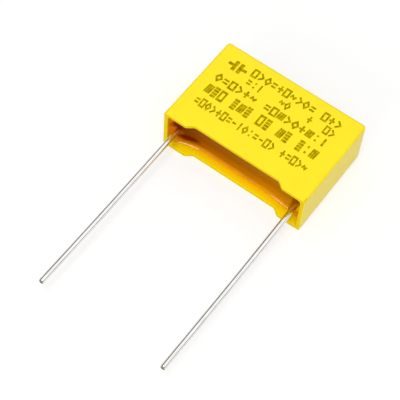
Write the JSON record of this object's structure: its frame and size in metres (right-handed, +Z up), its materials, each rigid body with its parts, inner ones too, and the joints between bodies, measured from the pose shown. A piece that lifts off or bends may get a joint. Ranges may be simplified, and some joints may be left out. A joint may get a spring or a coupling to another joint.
{
  "type": "film capacitor",
  "caption": "Box film capacitor: moulded rectangular case cast full of resin round a film winding, with feet at its rim and straight parallel wire leads for a drilled board",
  "frame": {"origin": "midway between the leads on the line that joins their axes, in the seating plane that the feet share", "axes": "+X along the lead pitch towards the right lead, +Y from the seating plane to the closed end of the case, so the leads point along -Y, +Z up out of the marked large face"},
  "size_m": [0.018, 0.034, 0.006],
  "materials": {
    "case": "satin moulded polyester",
    "resin": "glossy amber casting resin",
    "film": "metallised plastic film",
    "end_metal": "sprayed grey zinc, which is about as dense as cast iron",
    "wire": "bright tinned copper-clad steel"
  },
  "bodies": {
    "root": {"case": "case", "potting_resin": "resin", "film_winding": "film", "end_contact_left": "end_metal", "end_contact_right": "end_metal", "lead_left": "wire", "lead_right": "wire"}
  },
  "joints": []
}
